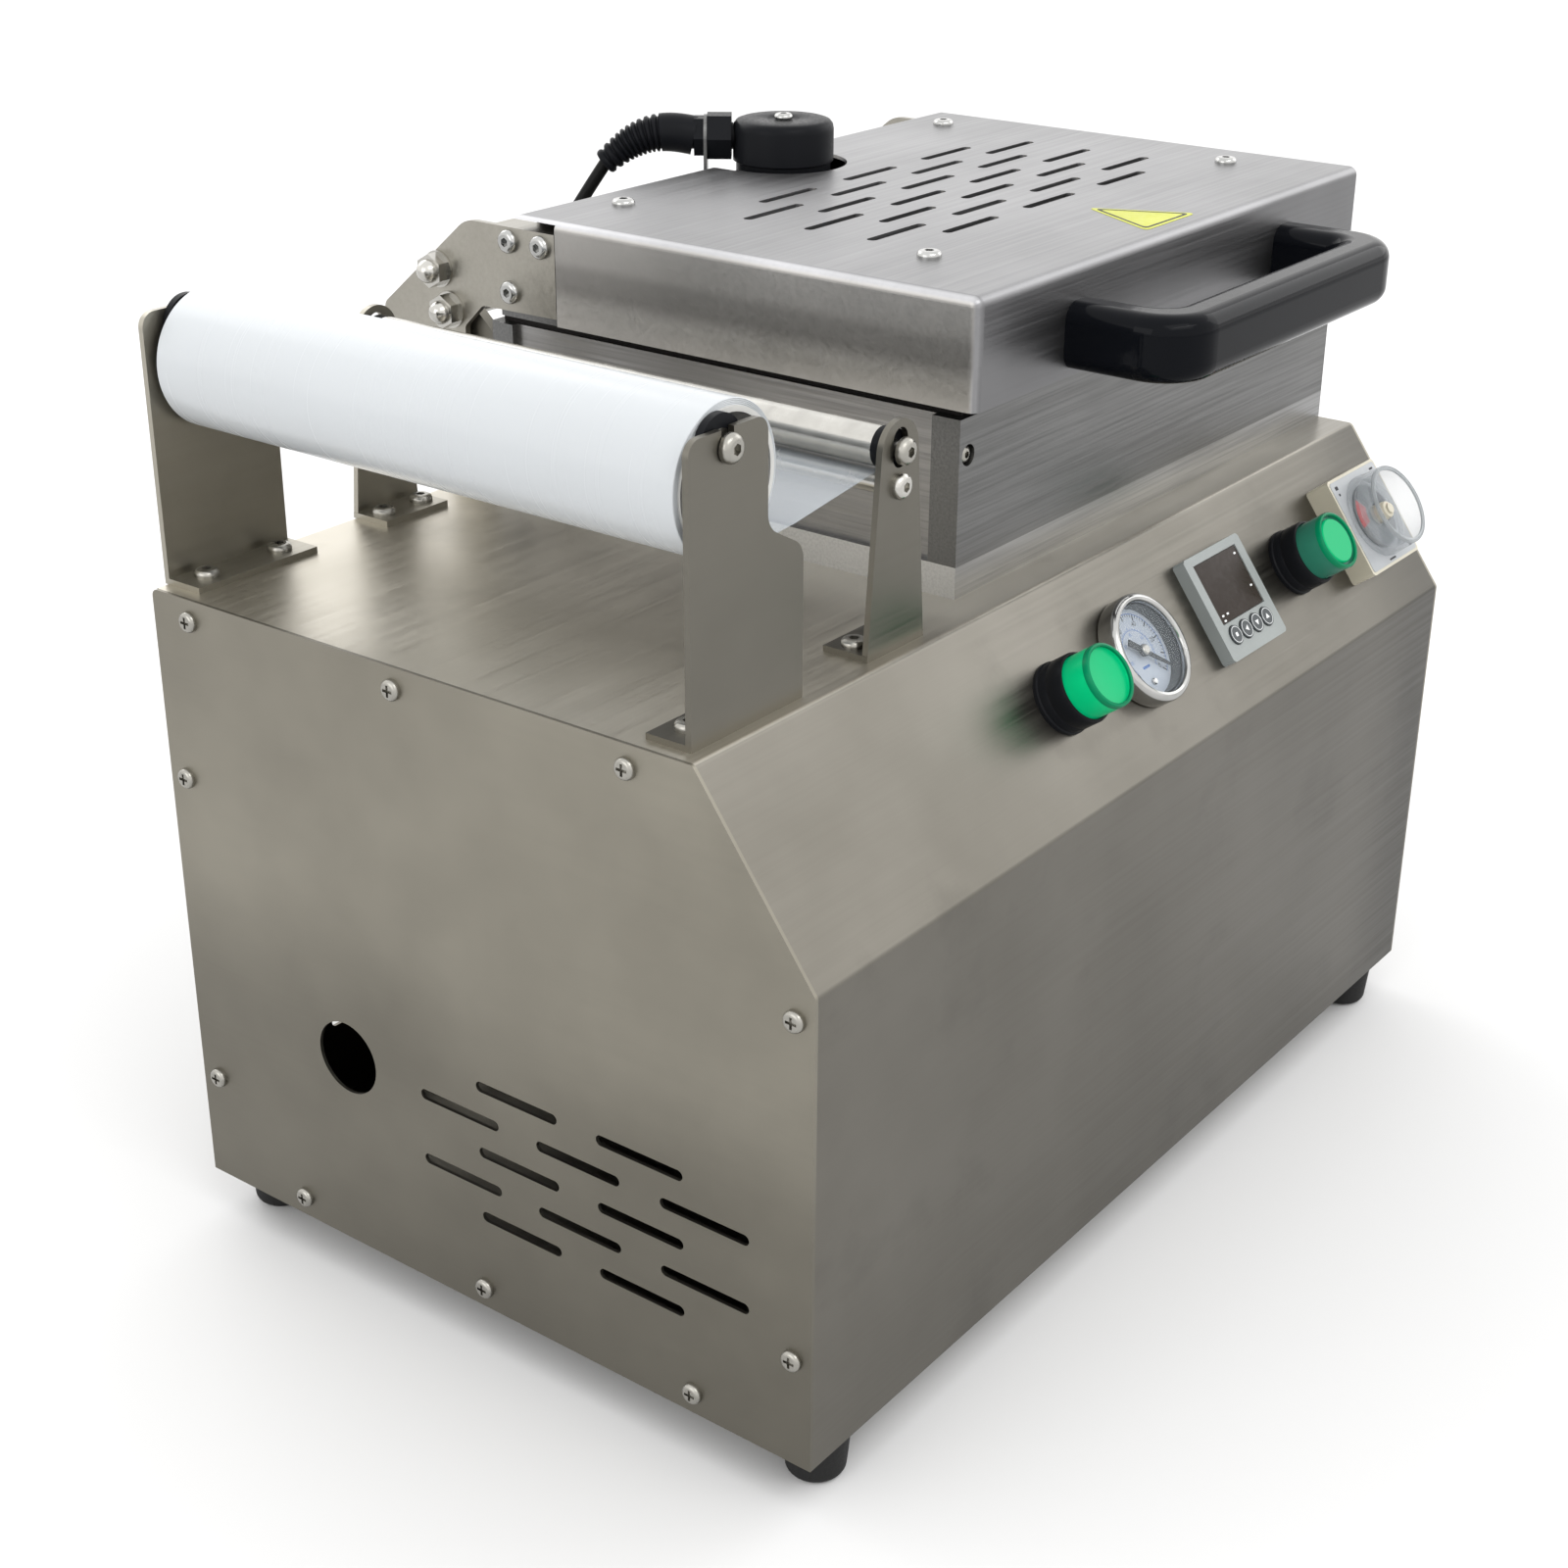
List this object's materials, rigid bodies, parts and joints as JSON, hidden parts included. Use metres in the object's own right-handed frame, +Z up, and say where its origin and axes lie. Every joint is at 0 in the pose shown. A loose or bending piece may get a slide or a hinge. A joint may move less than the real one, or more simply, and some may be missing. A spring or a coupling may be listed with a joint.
{
  "type": "cup sealing machine",
  "caption": "Tabletop cup sealing machine: stainless cabinet with sloped instrument panel, film roll and guide roller, aluminium cup tool and a hinged heated lid with a black bow handle.",
  "frame": {"origin": "bottom centre of the whole machine's box, on the surface it stands on", "axes": "+X to the machine's right, from the film roll to the cup tool; +Y to the rear; +Z up"},
  "size_m": [0.5164, 0.3808, 0.433],
  "materials": {
    "stainless": "brushed sheet, satin",
    "bracket_steel": "brushed sheet, satin",
    "tool_aluminium": "machined, fine lines",
    "bright_steel": "polished",
    "black_rubber": "matt",
    "gasket_rubber": "matt silicone",
    "black_plastic": "glossy",
    "dark_plastic": "matt",
    "green_lens": "translucent, lit",
    "grey_plastic": "satin",
    "ivory_plastic": "satin",
    "clear_plastic": "clear",
    "film_plastic": "milky, translucent",
    "card": "matt",
    "cylinder_alloy": "anodised"
  },
  "bodies": {
    "cabinet": {"wrap_cover": "stainless", "side_panel_left": "stainless", "side_panel_right": "stainless", "rear_panel": "stainless", "base_plate": "stainless", "panel_screws": "bright_steel", "rubber_feet": "black_rubber", "power_inlet": "dark_plastic", "air_fitting": "bright_steel", "press_cylinder": "cylinder_alloy", "solenoid_valve": "dark_plastic", "power_supply": "cylinder_alloy", "pilot_lamp_body": "dark_plastic", "pilot_lamp_lens": "green_lens", "button_housing": "dark_plastic", "gauge_case": "bright_steel", "gauge_glass": "clear_plastic", "controller_case": "grey_plastic", "timer_case": "ivory_plastic", "timer_dial": "grey_plastic", "deck_screws": "bright_steel", "roll_brackets": "bracket_steel", "guide_brackets": "bracket_steel", "lower_rod": "bright_steel", "film_web": "film_plastic", "tool_base_plate": "tool_aluminium", "tool_end_plates": "tool_aluminium", "tool_side_plates": "tool_aluminium", "seal_gasket": "gasket_rubber", "hinge_brackets": "bracket_steel", "heater_cable": "black_plastic", "cable_entry": "dark_plastic"},
    "lid": {"lid_cover": "stainless", "lid_frame": "tool_aluminium", "lid_screws": "bright_steel", "handle": "black_plastic", "heater_plate": "tool_aluminium", "film_clamp_frame": "tool_aluminium", "seal_heads": "tool_aluminium", "hinge_plates": "bracket_steel", "hinge_rods": "bright_steel", "terminal_cap": "dark_plastic", "cable_gland": "dark_plastic", "strain_relief": "dark_plastic"},
    "press": {"cup_carrier": "tool_aluminium", "lift_frame": "tool_aluminium"},
    "axle": {"roll_axle": "bright_steel", "axle_collars": "dark_plastic"},
    "roll": {"film_core": "card", "film_roll": "film_plastic"},
    "guide_float": {"guide_shaft": "bright_steel"},
    "guide_roller": {"guide_end_caps": "dark_plastic", "guide_tube": "bright_steel"},
    "button": {"button_cap": "green_lens"},
    "timer_setting": {"timer_knob": "clear_plastic"},
    "gauge_pointer": {"gauge_needle": "dark_plastic"},
    "key_1": {"controller_key_1": "dark_plastic"},
    "key_2": {"controller_key_2": "dark_plastic"},
    "key_3": {"controller_key_3": "dark_plastic"},
    "key_4": {"controller_key_4": "dark_plastic"}
  },
  "joints": [
    {"name": "lid_hinge", "type": "hinge", "parent": "cabinet", "child": "lid", "pos_m": [0.08585, 0.14945, 0.365], "axis": [-1, 0, 0], "range_deg": [0, 75], "deforming": ["heater_cable"]},
    {"name": "press_lift", "type": "slide", "parent": "cabinet", "child": "press", "axis": [0, 0, 1], "range_m": [0, 0.004]},
    {"name": "roll_axle_lift", "type": "slide", "parent": "cabinet", "child": "axle", "axis": [0, 0, 1], "range_m": [0, 0.03]},
    {"name": "roll_spin", "type": "hinge", "parent": "axle", "child": "roll", "pos_m": [-0.22015, 0.00795, 0.378], "axis": [0, 1, 0], "continuous": true},
    {"name": "guide_roller_float", "type": "slide", "parent": "cabinet", "child": "guide_float", "axis": [0, 0, 1], "range_m": [0, 0.0045]},
    {"name": "guide_roller_spin", "type": "hinge", "parent": "guide_float", "child": "guide_roller", "pos_m": [-0.12915, 0.00795, 0.3675], "axis": [0, 1, 0], "continuous": true},
    {"name": "button_press", "type": "slide", "parent": "cabinet", "child": "button", "axis": [0, 0.8068, -0.5909], "range_m": [0, 0.0035], "stiffness_N_per_m": 800, "springref_m": -0.0015},
    {"name": "timer_set", "type": "hinge", "parent": "cabinet", "child": "timer_setting", "pos_m": [0.19935, -0.1731, 0.26812], "axis": [0, -0.8068, 0.5909], "range_deg": [-150, 150]},
    {"name": "gauge_sweep", "type": "hinge", "parent": "cabinet", "child": "gauge_pointer", "pos_m": [-0.00165, -0.16019, 0.25867], "axis": [0, -0.8068, 0.5909], "range_deg": [0, 265], "stiffness_Nm_per_rad": 0.0005},
    {"name": "key_press_1", "type": "slide", "parent": "cabinet", "child": "key_1", "axis": [0, 0.8068, -0.5909], "range_m": [0, 0.0008], "stiffness_N_per_m": 400, "springref_m": -0.0005},
    {"name": "key_press_2", "type": "slide", "parent": "cabinet", "child": "key_2", "axis": [0, 0.8068, -0.5909], "range_m": [0, 0.0008], "stiffness_N_per_m": 400, "springref_m": -0.0005},
    {"name": "key_press_3", "type": "slide", "parent": "cabinet", "child": "key_3", "axis": [0, 0.8068, -0.5909], "range_m": [0, 0.0008], "stiffness_N_per_m": 400, "springref_m": -0.0005},
    {"name": "key_press_4", "type": "slide", "parent": "cabinet", "child": "key_4", "axis": [0, 0.8068, -0.5909], "range_m": [0, 0.0008], "stiffness_N_per_m": 400, "springref_m": -0.0005}
  ]
}
